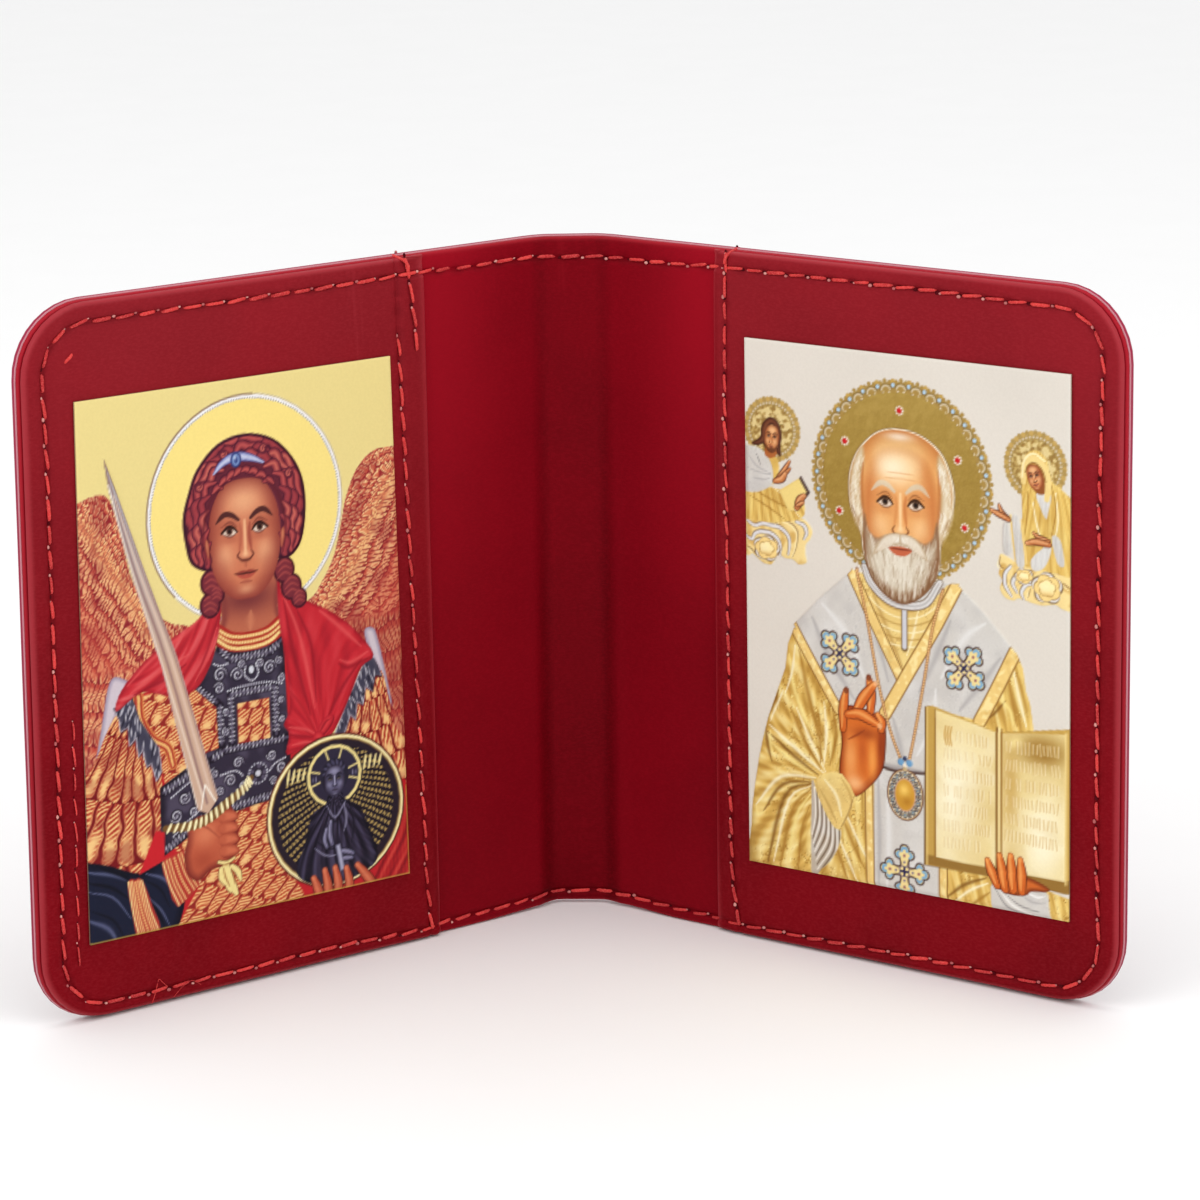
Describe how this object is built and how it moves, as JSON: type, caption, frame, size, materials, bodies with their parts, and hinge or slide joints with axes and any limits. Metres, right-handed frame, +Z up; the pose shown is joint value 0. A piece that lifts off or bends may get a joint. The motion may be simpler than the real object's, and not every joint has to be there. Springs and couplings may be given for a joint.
{
  "type": "travel icon diptych",
  "caption": "Folding leatherette case that stands half open, with an embossed icon print sewn in behind a stitched border on each leaf.",
  "frame": {"origin": "centre of the bounding box on the surface it stands on, with the case in its half-open standing pose", "axes": "+X across the width towards the viewer's right, +Y from the viewer to the spine at the back, +Z up"},
  "size_m": [0.1778, 0.059, 0.12],
  "materials": {
    "cover_leatherette": "satin",
    "lining_leatherette": "satin",
    "pocket_leatherette": "satin",
    "icon_print_left": "gloss",
    "icon_print_right": "gloss",
    "seam_thread": "satin"
  },
  "bodies": {
    "spine": {"cover_spine": "cover_leatherette", "lining_spine": "lining_leatherette"},
    "left_leaf": {"cover_left": "cover_leatherette", "lining_left": "lining_leatherette", "pocket_left": "pocket_leatherette", "icon_left": "icon_print_left"},
    "right_leaf": {"cover_right": "cover_leatherette", "lining_right": "lining_leatherette", "pocket_right": "pocket_leatherette", "icon_right": "icon_print_right"}
  },
  "joints": [
    {"name": "left_fold", "type": "hinge", "parent": "spine", "child": "left_leaf", "pos_m": [-0.006, 0.02849, 0], "axis": [0, 0, 1], "range_deg": [-34.5, 55.5]},
    {"name": "right_fold", "type": "hinge", "parent": "spine", "child": "right_leaf", "pos_m": [0.006, 0.02849, 0], "axis": [0, 0, -1], "range_deg": [-34.5, 55.5]}
  ]
}
